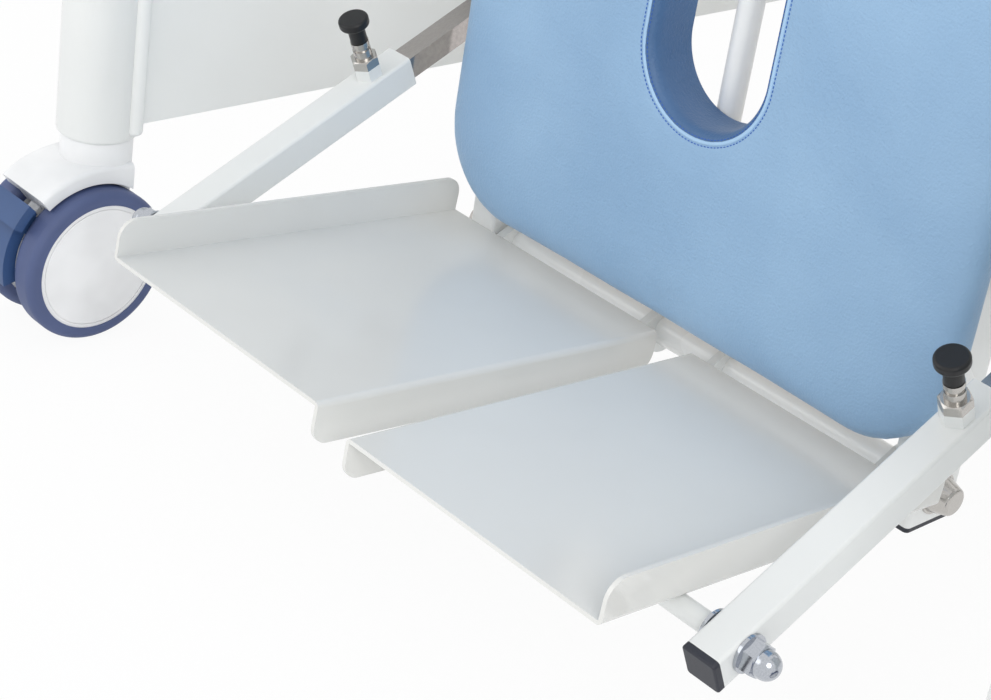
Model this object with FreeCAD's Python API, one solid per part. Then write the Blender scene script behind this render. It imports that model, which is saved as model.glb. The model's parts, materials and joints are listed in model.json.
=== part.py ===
import FreeCAD, Part
import math
import os
from FreeCAD import Vector

os.makedirs("parts", exist_ok=True)

# Physiotherapy tilt table, millimetres, shown tilted upright.
# X is the width, -Y is the side that the patient faces, Z is up, Z = 0 is the floor.
# While modelling, y = 0 is the rear edge of the footplates.

# Pads
PAD_HALF_W = 286.0
PAD_BOTTOM_Z = 193.0
PAD_CORNER_R = 85.0
PAD_FRONT_Y = -30.0
PAD_EDGE_DEPTH = 20.0
PAD_CROWN = 6.0
PAD_SIDE_DRAW = 5.0
LEG_PAD_LEN = 822.0
BACK_PAD_LEN = 984.0
PAD_GAP = 6.0
PAD_SEAT_GAP = 0.3
SLOT_HALF_W = 60.0
SLOT_FROM_BOTTOM = 179.0
SLOT_LEN = 520.0
SLOT_FLARE = 6.0
BOARD_T = 12.0
BOARD_INSET = 10.0
BOARD_SIDE_GAP = 0.3
BOARD_SLOT_MARGIN = 16.0
COLLAR_GAP = 0.3
COLLAR_PROUD = 3.0

# Top frame
STRINGER_OUT_X = 264.0
STRINGER_W = 30.0
STRINGER_D = 56.0
STRINGER_WALL = 2.5
STRINGER_ROUND = 4.0
STRINGER_BOTTOM_Z = 132.0
STRINGER_CAP_T = 4.0
STRINGER_PLUG = 16.0
STRINGER_PLUG_GAP = 0.2
CROSS_D = 30.0
CROSS_H = 40.0
CROSS_WALL = 2.0
CROSS_LOW_UP = 100.0
CROSS_TOP_DOWN = 90.0
CENTRE_TUBE_R = 11.0
CENTRE_TUBE_WALL = 2.0
CENTRE_TUBE_X = -14.0
PIVOT_UP = 26.0
PIVOT_TUBE_R = 14.0
PIVOT_TUBE_WALL = 3.0
CAP_NUT_R = 18.5
CAP_NUT_TIP_R = 11.5
CAP_NUT_H = 17.0
CAP_NUT_WASHER_T = 2.0

# Trunnion and base
TRUNNION_Y = 130.0
TRUNNION_Z = 737.0
SHAFT_R = 15.0
SHAFT_FIT = 0.05
TRUNNION_PLATE_T = 8.0
TRUNNION_PLATE_H = 120.0
TRUNNION_PLATE_REAR = 35.0
HUB_R = 28.0
HUB_LEN = 20.0
SHAFT_PAST = 4.0
POST_X = 532.0
POST_FRONT_Y = -227.0
POST_REAR_Y = 880.0
POST_R = 38.0
POST_WALL = 3.0
POST_BOTTOM_Z = 190.0
POST_TOP_Z = 690.0
POST_FOOT_T = 30.0
POST_ROUND = 4.0
POST_CAP_H = 12.0
PANEL_T = 18.0
PANEL_IN = 30.0
PANEL_UP = 13.0
PANEL_ROLL_UP = 6.0
PANEL_ROLL_R = 8.0
PANEL_ROLL_DEG = 26.0
PANEL_TOP_Z = 640.0
RAIL_W = 40.0
RAIL_H = 40.0
RAIL_WALL = 2.5
BEAM_H = 60.0
BEAM_D = 40.0
BEAM_WALL = 2.5
BEAM_LOW_UP = 40.0
BEAM_HIGH_UP = 370.0
BEAM_MID_UP = 150.0
BEAM_MID_Y = 450.0
BLOCK_W = 50.0
BLOCK_D = 120.0
BLOCK_OVER = 45.0
GEARBOX_W = 92.0
GEARBOX_D = 110.0
GEARBOX_H = 110.0
MOTOR_R = 38.0
MOTOR_LEN = 180.0
MOTOR_NECK_R = 30.0
MOTOR_NECK_LEN = 10.0
CONTROL_D = 60.0
CONTROL_L = 180.0
CONTROL_H = 150.0
CONTROL_Y = 550.0
CONTROL_Z = 330.0
INLET_W = 28.0
INLET_H = 34.0
INLET_PROUD = 3.0
INLET_RECESS = 12.0
INLET_LIP = 4.0

# Footplates
PLATE_INNER_X = 18.0
PLATE_OUTER_X = 286.0
PLATE_DEPTH = 375.0
PLATE_T = 3.5
PLATE_OUTER_FLANGE = 32.0
PLATE_INNER_FLANGE = 36.0
PLATE_BEND_R = 5.0
FLANGE_CORNER_R = 16.0
PLATE_REAR_OFFSET = 31.4
PLATE_TOP_DROP = -10.5
TILT_LEFT = 5.2
TILT_RIGHT = 3.9
LUG_T = 8.0
LUG_R = 22.0
LUG_FIT = 0.05
LUG_INNER_X = 36.0
LUG_OUTER_X = 220.0
LUG_REACH = 110.0
LUG_TAIL_H = 13.0
FRONT_BAR_R = 8.5
FRONT_BAR_S = 290.0
FRONT_BAR_START = PLATE_INNER_X + PLATE_T + 0.1

# Support arms
ARM_X = 331.0
ARM_SIZE = 30.0
ARM_WALL = 3.5
ARM_ROUND = 3.0
ARM_TAIL = 25.0
ARM_LEN = 272.0
ARM_SIDE_GAP = 0.3
ARM_CAP_T = 6.0
ARM_CAP_PLUG = 10.0
ARM_CAP_GAP = 0.2
BOLT_R = 6.0
BOLT_FIT = 0.05
WASHER_R = 15.0
WASHER_T = 2.5
WASHER_BORE_GAP = 0.2
ACORN_AF = 24.0
ACORN_HEX_H = 11.0
ACORN_DOME_R = 10.8
ACORN_NECK = 3.0
BAR_SIZE = 21.0
BAR_START = 90.0
BAR_HOLE_R = 4.0
BAR_HOLE_PITCH = 20.0
BAR_HOLES = 6
BAR_HOLE_FIRST = 30.0
ANCHOR_Y = 110.0
ANCHOR_Z = 374.0
ANCHOR_PIN_R = 7.0
ANCHOR_FIT = 0.05
ANCHOR_EYE_R = 13.0
ANCHOR_PLATE_T = 6.0
ANCHOR_PLATE_H = 60.0
ANCHOR_PLATE_REAR = 20.0
ANCHOR_PLATE_LAP = 50.0
ANCHOR_HEAD_R = 11.0
ANCHOR_HEAD_T = 4.0
ANCHOR_SIDE_GAP = 0.3

# Index plungers
PLUNGER_FROM_END = 36.0
BOSS_AF = 22.5
BOSS_H = 12.0
LOCKNUT_AF = 22.5
LOCKNUT_H = 9.0
NUT_CHAMFER = 1.4
SLEEVE_GROOVE = 1.3
SLEEVE_GROOVE_W = 4.0
SLEEVE_R = 8.2
SLEEVE_H = 17.0
PIN_R = 4.0
PIN_FIT = 0.05
PIN_TIP_UP = 0.4
KNOB_GAP = 0.3
KNOB_STALK_R = 7.6
KNOB_STALK_H = 16.0
KNOB_R = 13.5
KNOB_H = 8.5
KNOB_ROUND = 2.5

# Castors
WHEEL_R = 75.0
TYRE_W = 30.0
RIM_R = 62.0
RIM_W = 28.0
RIM_DOME = 2.0
TYRE_ROUND = 8.0
HOOD_HALF_T = 16.0
WHEEL_GAP = 3.0
TRAIL = 22.0
HOOD_HALF_W = 35.0
HOOD_CLEAR = 3.0
HOOD_REAR_Z = 112.0
HOOD_OUTLINE = ((-42.0, 166.0), (-12.0, 168.5), (14.0, 166.5), (42.0, 157.0), (67.0, 136.0), (82.0, 106.0))
HOOD_END_DEG = 52.0
HOOD_ROUND = 5.0
CORE_R = 26.0
NECK_R = 33.5
SWIVEL_GAP = 0.3
STEM_R = 10.0
STEM_LEN = 25.0
STEM_FIT = 0.05
AXLE_R = 8.0
AXLE_FIT = 0.05
RING_R = 58.0
RING_W = 1.2
RING_DEPTH = 0.8
PEDAL_PIN_AT = 56.0
PEDAL_PIN_DEG = 36.0
PEDAL_PIN_R = 4.0
PEDAL_FIT = 0.05
PEDAL_BOSS_R = 9.0
PEDAL_LUG_HALF = 7.0
PEDAL_SIDE_GAP = 0.3
PEDAL_CHEEK_T = 8.0
PEDAL_SHELL_IN = 69.0
PEDAL_SHELL_OUT = 82.0
PEDAL_LOW_DEG = -12.0
PEDAL_HIGH_DEG = 46.0
PEDAL_LIP_HALF = 27.0
PEDAL_LIP_OUT = 92.0
PEDAL_LIP_LOW_DEG = 30.0
PEDAL_ROOM_DEG = -33.0
PEDAL_ROOM_R = 66.0
PEDAL_CHEEK_ROOM_R = 43.0

# Derived places
PLUNGER_U = ARM_LEN - PLUNGER_FROM_END
PANEL_IN_X = POST_X - PANEL_IN
PAD_REAR_Y = PAD_FRONT_Y + PAD_CROWN + PAD_EDGE_DEPTH + PAD_CROWN
BOARD_FRONT_Y = PAD_REAR_Y + PAD_SEAT_GAP
BOARD_REAR_Y = BOARD_FRONT_Y + BOARD_T
STRINGER_FRONT_Y = BOARD_FRONT_Y
STRINGER_REAR_Y = STRINGER_FRONT_Y + STRINGER_D
STRINGER_MID_Y = STRINGER_FRONT_Y + STRINGER_D / 2
STRINGER_IN_X = STRINGER_OUT_X - STRINGER_W
CROSS_MID_Y = BOARD_REAR_Y + CROSS_D / 2
LEG_PAD_TOP_Z = PAD_BOTTOM_Z + LEG_PAD_LEN
BACK_PAD_BOTTOM_Z = LEG_PAD_TOP_Z + PAD_GAP
BACK_PAD_TOP_Z = BACK_PAD_BOTTOM_Z + BACK_PAD_LEN
STRINGER_TOP_Z = BACK_PAD_TOP_Z - BOARD_INSET
PIVOT_Y = STRINGER_MID_Y
PIVOT_Z = STRINGER_BOTTOM_Z + PIVOT_UP
CROSS_LOW_Z = STRINGER_BOTTOM_Z + CROSS_LOW_UP
CROSS_MID_Z = LEG_PAD_TOP_Z
CROSS_TOP_Z = STRINGER_TOP_Z - CROSS_TOP_DOWN
RAIL_TOP_Z = PANEL_TOP_Z + RAIL_H
SIDES = ((-1, "left"), (1, "right"))
TILT = {-1: TILT_LEFT, 1: TILT_RIGHT}
PLATE_UNDER = -PLATE_TOP_DROP - PLATE_T

SHAPES = {}


def add(name, *solids):
    """Keep one node: a single solid, or a group of separate solids."""
    if len(solids) == 1:
        SHAPES[name] = solids[0]
    else:
        SHAPES[name] = Part.Compound(list(solids))


def span(a, b):
    return (a, b) if a < b else (b, a)


def box(xa, xb, ya, yb, za, zb):
    xa, xb = span(xa, xb)
    ya, yb = span(ya, yb)
    za, zb = span(za, zb)
    return Part.makeBox(xb - xa, yb - ya, zb - za, Vector(xa, ya, za))


def cyl_x(r, xa, xb, y, z):
    xa, xb = span(xa, xb)
    return Part.makeCylinder(r, xb - xa, Vector(xa, y, z), Vector(1, 0, 0))


def cyl_z(r, x, y, za, zb):
    za, zb = span(za, zb)
    return Part.makeCylinder(r, zb - za, Vector(x, y, za), Vector(0, 0, 1))


def hex_along(af, start, axis, height):
    """Hexagonal prism from a start point along an axis."""
    axis = Vector(axis)
    axis.normalize()
    helper = Vector(1, 0, 0) if abs(axis.x) < 0.9 else Vector(0, 1, 0)
    u = axis.cross(helper)
    u.normalize()
    v = axis.cross(u)
    r = af / math.sqrt(3.0)
    points = []
    for i in range(7):
        t = math.radians(60.0 * i)
        points.append(Vector(start) + u * (r * math.cos(t)) + v * (r * math.sin(t)))
    return Part.Face(Part.makePolygon(points)).extrude(axis * height)


def chamfered_drum(af, start, axis, height):
    """Drum that cuts the corners of a hexagon nut at its outer end."""
    r = af / math.sqrt(3.0)
    low = Part.makeCylinder(r, height - NUT_CHAMFER, start, axis)
    top = Part.makeCone(r, r - 1.7 * NUT_CHAMFER, NUT_CHAMFER, start + axis * (height - NUT_CHAMFER), axis)
    return low.fuse(top)


def yz_prism(points, xa, xb):
    """Solid from a closed outline in the YZ plane, between two X planes."""
    xa, xb = span(xa, xb)
    wire = Part.makePolygon([Vector(xa, y, z) for y, z in points + [points[0]]])
    return Part.Face(wire).extrude(Vector(xb - xa, 0, 0))


def long_round(shape, r, along):
    """Round the edges of a box that run along one axis."""
    edges = []
    for e in shape.Edges:
        way = e.Vertexes[1].Point - e.Vertexes[0].Point
        if abs(getattr(way, along)) > 0.99 * way.Length:
            edges.append(e)
    return shape.makeFillet(r, edges)


def tube_between(xa, xb, ya, yb, za, zb, wall, along, corner=0.0):
    """Rectangular tube, open at both ends along one axis."""
    outer = box(xa, xb, ya, yb, za, zb)
    if corner:
        outer = long_round(outer, corner, along)
    grow = {"x": 0.0, "y": 0.0, "z": 0.0}
    shrink = {"x": wall, "y": wall, "z": wall}
    shrink[along] = 0.0
    grow[along] = 1.0
    xa, xb = span(xa, xb)
    ya, yb = span(ya, yb)
    za, zb = span(za, zb)
    inner = box(
        xa + shrink["x"] - grow["x"], xb - shrink["x"] + grow["x"],
        ya + shrink["y"] - grow["y"], yb - shrink["y"] + grow["y"],
        za + shrink["z"] - grow["z"], zb - shrink["z"] + grow["z"])
    return outer.cut(inner)


def round_rect_wire(y, half_w, z_low, z_high, r):
    """Rounded rectangle in an XZ plane at depth y, lines and quarter arcs."""
    def p(x, z):
        return Vector(x, y, z)
    k = r * (1.0 - math.sqrt(0.5))
    w = half_w
    edges = [
        Part.LineSegment(p(-w + r, z_low), p(w - r, z_low)).toShape(),
        Part.Arc(p(w - r, z_low), p(w - k, z_low + k), p(w, z_low + r)).toShape(),
        Part.LineSegment(p(w, z_low + r), p(w, z_high - r)).toShape(),
        Part.Arc(p(w, z_high - r), p(w - k, z_high - k), p(w - r, z_high)).toShape(),
        Part.LineSegment(p(w - r, z_high), p(-w + r, z_high)).toShape(),
        Part.Arc(p(-w + r, z_high), p(-w + k, z_high - k), p(-w, z_high - r)).toShape(),
        Part.LineSegment(p(-w, z_high - r), p(-w, z_low + r)).toShape(),
        Part.Arc(p(-w, z_low + r), p(-w + k, z_low + k), p(-w + r, z_low)).toShape(),
    ]
    return Part.Wire(edges)


def slot_wire(y, half_w, z_low, z_high):
    """Long slot with round ends in an XZ plane, each end as two quarter arcs."""
    def p(x, z):
        return Vector(x, y, z)
    r = half_w
    k = r * math.sqrt(0.5)
    zl = z_low + r
    zh = z_high - r
    edges = [
        Part.Arc(p(-r, zl), p(-k, zl - k), p(0, zl - r)).toShape(),
        Part.Arc(p(0, zl - r), p(k, zl - k), p(r, zl)).toShape(),
        Part.LineSegment(p(r, zl), p(r, zh)).toShape(),
        Part.Arc(p(r, zh), p(k, zh + k), p(0, zh + r)).toShape(),
        Part.Arc(p(0, zh + r), p(-k, zh + k), p(-r, zh)).toShape(),
        Part.LineSegment(p(-r, zh), p(-r, zl)).toShape(),
    ]
    return Part.Wire(edges)


def cushion(z_low, z_high):
    """Upholstered pad: drawn-in sides and a crowned front face."""
    y0 = PAD_REAR_Y
    y1 = y0 - PAD_CROWN
    y2 = y1 - PAD_EDGE_DEPTH / 2
    y3 = y1 - PAD_EDGE_DEPTH
    y4 = PAD_FRONT_Y
    d = PAD_SIDE_DRAW
    steps = [(y0, 2 * d), (y1, 0.5 * d), (y2, 0.0), (y3, 0.8 * d), (y4 + 0.35 * PAD_CROWN, 3 * d), (y4, 10 * d)]
    wires = []
    for y, inset in steps:
        r = PAD_CORNER_R - inset
        wires.append(round_rect_wire(y, PAD_HALF_W - inset, z_low + inset, z_high - inset, r))
    return Part.makeLoft(wires, True, True)


# Side frames of the base
def side_sheet(s):
    """Board between the two posts of one side, with a rolled edge that lies along the front post."""
    x = s * POST_X
    x_in = s * PANEL_IN_X
    sheet = box(x_in, x_in + s * PANEL_T, POST_FRONT_Y, POST_REAR_Y, POST_BOTTOM_Z + PANEL_UP, PANEL_TOP_Z)
    turn = math.radians(PANEL_ROLL_DEG)
    roll_x = x - s * POST_R * math.cos(turn)
    roll_y = POST_FRONT_Y + POST_R * math.sin(turn)
    roll_z = POST_BOTTOM_Z + PANEL_ROLL_UP
    roll = cyl_z(PANEL_ROLL_R, roll_x, roll_y, roll_z, PANEL_TOP_Z)
    foot = [e for e in roll.Edges if e.Closed and abs(e.CenterOfMass.z - roll_z) < 1e-6]
    sheet = sheet.fuse(roll.makeFillet(0.6 * PANEL_ROLL_R, foot))
    for y in (POST_FRONT_Y, POST_REAR_Y):
        sheet = sheet.cut(cyl_z(POST_R, x, y, POST_BOTTOM_Z - 1, PANEL_TOP_Z + 1))
    return sheet.removeSplitter()


def post(s, y):
    x = s * POST_X
    body = cyl_z(POST_R, x, y, POST_BOTTOM_Z, POST_TOP_Z)
    foot = [e for e in body.Edges if e.Closed and abs(e.CenterOfMass.z - POST_BOTTOM_Z) < 1e-6]
    body = body.makeFillet(POST_ROUND, foot)
    body = body.cut(cyl_z(POST_R - POST_WALL, x, y, POST_BOTTOM_Z + POST_FOOT_T, POST_TOP_Z + 1))
    return body.cut(cyl_z(STEM_R + STEM_FIT, x, y, POST_BOTTOM_Z - 1, POST_BOTTOM_Z + POST_FOOT_T + 1))


def post_cap(s, y):
    cap = cyl_z(POST_R, s * POST_X, y, POST_TOP_Z, POST_TOP_Z + POST_CAP_H)
    top = [e for e in cap.Edges if abs(e.CenterOfMass.z - POST_TOP_Z - POST_CAP_H) < 1e-6]
    return cap.makeFillet(0.6 * POST_CAP_H, [e for e in top if e.Closed])


add("posts_front", post(-1, POST_FRONT_Y), post(1, POST_FRONT_Y))
add("posts_rear", post(-1, POST_REAR_Y), post(1, POST_REAR_Y))
add("post_caps", *[post_cap(s, y) for s, _ in SIDES for y in (POST_FRONT_Y, POST_REAR_Y)])
for s, side in SIDES:
    add("side_panel_" + side, side_sheet(s))


def top_rail(s):
    x = s * POST_X
    rail = tube_between(x - RAIL_W / 2, x + RAIL_W / 2, POST_FRONT_Y, POST_REAR_Y,
                        PANEL_TOP_Z, RAIL_TOP_Z, RAIL_WALL, "y")
    for y in (POST_FRONT_Y, POST_REAR_Y):
        rail = rail.cut(cyl_z(POST_R, x, y, PANEL_TOP_Z - 1, RAIL_TOP_Z + 1))
    return rail


add("top_rails", top_rail(-1), top_rail(1))


# Cross beams join the two side frames behind the swinging top
def rear_beam(z_low):
    beam = tube_between(-POST_X, POST_X, POST_REAR_Y - BEAM_D / 2, POST_REAR_Y + BEAM_D / 2,
                        z_low, z_low + BEAM_H, BEAM_WALL, "x")
    for s, _ in SIDES:
        beam = beam.cut(cyl_z(POST_R, s * POST_X, POST_REAR_Y, z_low - 1, z_low + BEAM_H + 1))
    return beam


beam_low_z = POST_BOTTOM_Z + BEAM_LOW_UP
beam_mid_z = POST_BOTTOM_Z + BEAM_MID_UP
beam_mid = tube_between(-PANEL_IN_X, PANEL_IN_X, BEAM_MID_Y - BEAM_D / 2, BEAM_MID_Y + BEAM_D / 2,
                        beam_mid_z, beam_mid_z + BEAM_H, BEAM_WALL, "x")
add("cross_beams", rear_beam(beam_low_z), rear_beam(POST_BOTTOM_Z + BEAM_HIGH_UP), beam_mid)


# Trunnion bearings and the worm gear drive
def bearing_block(s):
    x = s * POST_X
    y0 = TRUNNION_Y - BLOCK_D / 2
    y1 = TRUNNION_Y + BLOCK_D / 2
    top = TRUNNION_Z + BLOCK_OVER
    chamfer = BLOCK_OVER - SHAFT_R
    outline = [(y0, RAIL_TOP_Z), (y1, RAIL_TOP_Z), (y1, top - chamfer), (y1 - chamfer, top),
               (y0 + chamfer, top), (y0, top - chamfer)]
    block = yz_prism(outline, x - BLOCK_W / 2, x + BLOCK_W / 2)
    return block.cut(cyl_x(SHAFT_R + SHAFT_FIT, x - BLOCK_W, x + BLOCK_W, TRUNNION_Y, TRUNNION_Z))


add("bearing_blocks", bearing_block(-1), bearing_block(1))
gear_x0 = -(POST_X - BLOCK_W / 2)
gear_x1 = gear_x0 + GEARBOX_W
gear_z0 = TRUNNION_Z - GEARBOX_H / 2
gearbox = box(gear_x0, gear_x1, TRUNNION_Y - GEARBOX_D / 2, TRUNNION_Y + GEARBOX_D / 2,
              gear_z0, gear_z0 + GEARBOX_H)
gearbox = gearbox.cut(cyl_x(SHAFT_R + SHAFT_FIT, gear_x0 - 1, gear_x1 + 1, TRUNNION_Y, TRUNNION_Z))
add("drive_gearbox", gearbox)
motor_x = (gear_x0 + gear_x1) / 2
motor = cyl_z(MOTOR_NECK_R, motor_x, TRUNNION_Y, gear_z0 - MOTOR_NECK_LEN, gear_z0)
motor_top = gear_z0 - MOTOR_NECK_LEN
motor = motor.fuse(cyl_z(MOTOR_R, motor_x, TRUNNION_Y, motor_top - MOTOR_LEN, motor_top)).removeSplitter()
add("drive_motor", motor)
control_x = -PANEL_IN_X
control = box(control_x, control_x + CONTROL_D, CONTROL_Y, CONTROL_Y + CONTROL_L,
              CONTROL_Z, CONTROL_Z + CONTROL_H)
inlet_x = control_x + CONTROL_D / 2
inlet_z = CONTROL_Z + CONTROL_H / 2
inlet_y = CONTROL_Y + CONTROL_L
pocket = box(inlet_x - INLET_W / 2, inlet_x + INLET_W / 2, inlet_y - INLET_RECESS - INLET_LIP, inlet_y + 1,
             inlet_z - INLET_H / 2, inlet_z + INLET_H / 2)
add("control_box", control.cut(pocket))
inlet = box(inlet_x - INLET_W / 2, inlet_x + INLET_W / 2, inlet_y - INLET_RECESS - INLET_LIP,
            inlet_y + INLET_PROUD, inlet_z - INLET_H / 2, inlet_z + INLET_H / 2)
inlet = inlet.cut(box(inlet_x - INLET_W / 2 + INLET_LIP, inlet_x + INLET_W / 2 - INLET_LIP,
                      inlet_y - INLET_RECESS, inlet_y + INLET_PROUD + 1,
                      inlet_z - INLET_H / 2 + INLET_LIP, inlet_z + INLET_H / 2 - INLET_LIP))
add("power_inlet", inlet)

# Tilting top: stringers, cross members, boards and pads
caps = []
for s, side in SIDES:
    x_out = s * STRINGER_OUT_X
    x_in = s * STRINGER_IN_X
    add("stringer_" + side, tube_between(x_in, x_out, STRINGER_FRONT_Y, STRINGER_REAR_Y,
                                         STRINGER_BOTTOM_Z, STRINGER_TOP_Z, STRINGER_WALL, "z", STRINGER_ROUND))
    inset = STRINGER_WALL + STRINGER_PLUG_GAP
    xa, xb = span(x_in, x_out)
    for end_z, out in ((STRINGER_BOTTOM_Z, -1), (STRINGER_TOP_Z, 1)):
        cap = box(xa, xb, STRINGER_FRONT_Y, STRINGER_REAR_Y, end_z, end_z + out * STRINGER_CAP_T)
        cap = long_round(cap, STRINGER_ROUND, "z")
        plug = box(xa + inset, xb - inset, STRINGER_FRONT_Y + inset, STRINGER_REAR_Y - inset,
                   end_z, end_z - out * STRINGER_PLUG)
        caps.append(cap.fuse(plug).removeSplitter())
add("stringer_caps", *caps)


def cross_member(z_low):
    return tube_between(-STRINGER_IN_X, STRINGER_IN_X, CROSS_MID_Y - CROSS_D / 2,
                        CROSS_MID_Y + CROSS_D / 2, z_low, z_low + CROSS_H, CROSS_WALL, "x")


add("frame_cross_members", cross_member(CROSS_LOW_Z), cross_member(CROSS_MID_Z), cross_member(CROSS_TOP_Z))
centre = cyl_z(CENTRE_TUBE_R, CENTRE_TUBE_X, CROSS_MID_Y, CROSS_LOW_Z + CROSS_H, CROSS_MID_Z)
centre = centre.cut(cyl_z(CENTRE_TUBE_R - CENTRE_TUBE_WALL, CENTRE_TUBE_X, CROSS_MID_Y,
                          CROSS_LOW_Z + CROSS_H - 1, CROSS_MID_Z + 1))
add("centre_tube", centre)
pivot = cyl_x(PIVOT_TUBE_R, -STRINGER_IN_X, STRINGER_IN_X, PIVOT_Y, PIVOT_Z)
pivot = pivot.cut(cyl_x(PIVOT_TUBE_R - PIVOT_TUBE_WALL, -STRINGER_IN_X - 1, STRINGER_IN_X + 1, PIVOT_Y, PIVOT_Z))
add("pivot_tube", pivot)
nuts = []
for s, side in SIDES:
    face = s * STRINGER_OUT_X
    washer = cyl_x(CAP_NUT_R, face, face + s * CAP_NUT_WASHER_T, PIVOT_Y, PIVOT_Z)
    cone = Part.makeCone(CAP_NUT_R - 2, CAP_NUT_TIP_R, CAP_NUT_H,
                         Vector(face + s * CAP_NUT_WASHER_T, PIVOT_Y, PIVOT_Z), Vector(s, 0, 0))
    tip = [e for e in cone.Edges if e.Closed and abs(e.CenterOfMass.x) > abs(face) + CAP_NUT_H]
    nuts.append(washer.fuse(cone.makeFillet(0.3 * CAP_NUT_TIP_R, tip)).removeSplitter())
add("pivot_cap_nuts", *nuts)

trunnions = []
for s, side in SIDES:
    face = s * STRINGER_OUT_X
    out = face + s * TRUNNION_PLATE_T
    plate = box(face, out, STRINGER_FRONT_Y + STRINGER_WALL, TRUNNION_Y + TRUNNION_PLATE_REAR,
                TRUNNION_Z - TRUNNION_PLATE_H / 2, TRUNNION_Z + TRUNNION_PLATE_H / 2)
    hub = cyl_x(HUB_R, out, out + s * HUB_LEN, TRUNNION_Y, TRUNNION_Z)
    shaft = cyl_x(SHAFT_R, face, s * (POST_X + BLOCK_W / 2 + SHAFT_PAST), TRUNNION_Y, TRUNNION_Z)
    trunnions.append(plate.fuse([hub, shaft]).removeSplitter())
add("trunnion_shafts", *trunnions)

slot_low = PAD_BOTTOM_Z + SLOT_FROM_BOTTOM
slot_high = slot_low + SLOT_LEN


def board(z_low, z_high):
    r = PAD_CORNER_R - BOARD_INSET
    half_w = STRINGER_IN_X - BOARD_SIDE_GAP
    wire = round_rect_wire(BOARD_FRONT_Y, half_w, z_low + BOARD_INSET, z_high - BOARD_INSET, r)
    return Part.Face(wire).extrude(Vector(0, BOARD_T, 0))


leg_board = board(PAD_BOTTOM_Z, LEG_PAD_TOP_Z)
leg_board = leg_board.cut(Part.Face(slot_wire(
    BOARD_FRONT_Y - 1, SLOT_HALF_W + BOARD_SLOT_MARGIN, slot_low - BOARD_SLOT_MARGIN,
    slot_high + BOARD_SLOT_MARGIN)).extrude(Vector(0, BOARD_T + 2, 0)))
add("pad_boards", leg_board, board(BACK_PAD_BOTTOM_Z, BACK_PAD_TOP_Z))
collar_grow = BOARD_SLOT_MARGIN - COLLAR_GAP
collar_wire = slot_wire(PAD_REAR_Y - 1, SLOT_HALF_W + collar_grow, slot_low - collar_grow, slot_high + collar_grow)
collar = Part.Face(collar_wire)
collar = collar.extrude(Vector(0, BOARD_REAR_Y - PAD_REAR_Y + 1 + COLLAR_PROUD, 0))
slot_steps = [(BOARD_REAR_Y + COLLAR_PROUD + 1, 0.0), (PAD_REAR_Y - PAD_EDGE_DEPTH, 0.0),
              (PAD_FRONT_Y + PAD_CROWN / 2, SLOT_FLARE / 2), (PAD_FRONT_Y - 1, 1.5 * SLOT_FLARE)]
slot_wires = [slot_wire(y, SLOT_HALF_W + g, slot_low - g, slot_high + g) for y, g in slot_steps]
leg_foam = cushion(PAD_BOTTOM_Z, LEG_PAD_TOP_Z).fuse(collar)
add("leg_pad", leg_foam.cut(Part.makeLoft(slot_wires, True, True)).removeSplitter())
add("back_pad", cushion(BACK_PAD_BOTTOM_Z, BACK_PAD_TOP_Z))

# Brackets that carry the upper ends of the telescopic bars
BAR_HALF = BAR_SIZE / 2
brackets = []
for s, side in SIDES:
    face = s * STRINGER_OUT_X
    out = face + s * ANCHOR_PLATE_T
    plate = box(face, out, STRINGER_REAR_Y - ANCHOR_PLATE_LAP, ANCHOR_Y + ANCHOR_PLATE_REAR,
                ANCHOR_Z - ANCHOR_PLATE_H / 2, ANCHOR_Z + ANCHOR_PLATE_H / 2)
    bar_out = s * (ARM_X + BAR_HALF + ANCHOR_SIDE_GAP)
    bar_in = s * (ARM_X - BAR_HALF - ANCHOR_SIDE_GAP)
    spacer = cyl_x(ANCHOR_HEAD_R, out, bar_in, ANCHOR_Y, ANCHOR_Z)
    pin = cyl_x(ANCHOR_PIN_R, face, bar_out + s * ANCHOR_HEAD_T, ANCHOR_Y, ANCHOR_Z)
    head = cyl_x(ANCHOR_HEAD_R, bar_out, bar_out + s * ANCHOR_HEAD_T, ANCHOR_Y, ANCHOR_Z)
    brackets.append(plate.fuse([spacer, pin, head]).removeSplitter())
add("bar_anchor_brackets", *brackets)

PIVOT = Vector(0, PIVOT_Y, PIVOT_Z)


def tilted(shape, s):
    """Turn a footplate piece about the pivot tube to its photographed tilt."""
    out = shape.copy()
    out.rotate(PIVOT, Vector(-1, 0, 0), TILT[s])
    return out


def corner_rounded(flange, s, z_edge, up):
    """Round the two far corners of a flange that stands in a YZ plane."""
    y_front = PIVOT_Y - PLATE_REAR_OFFSET - PLATE_DEPTH
    y_rear = PIVOT_Y - PLATE_REAR_OFFSET
    edges = []
    for e in flange.Edges:
        c = e.CenterOfMass
        at_end = abs(c.y - y_front) < 1e-6 or abs(c.y - y_rear) < 1e-6
        if at_end and abs(c.z - z_edge) < 1e-6 and e.Length < 2 * PLATE_T:
            edges.append(e)
    return flange.makeFillet(FLANGE_CORNER_R, edges)


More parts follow.
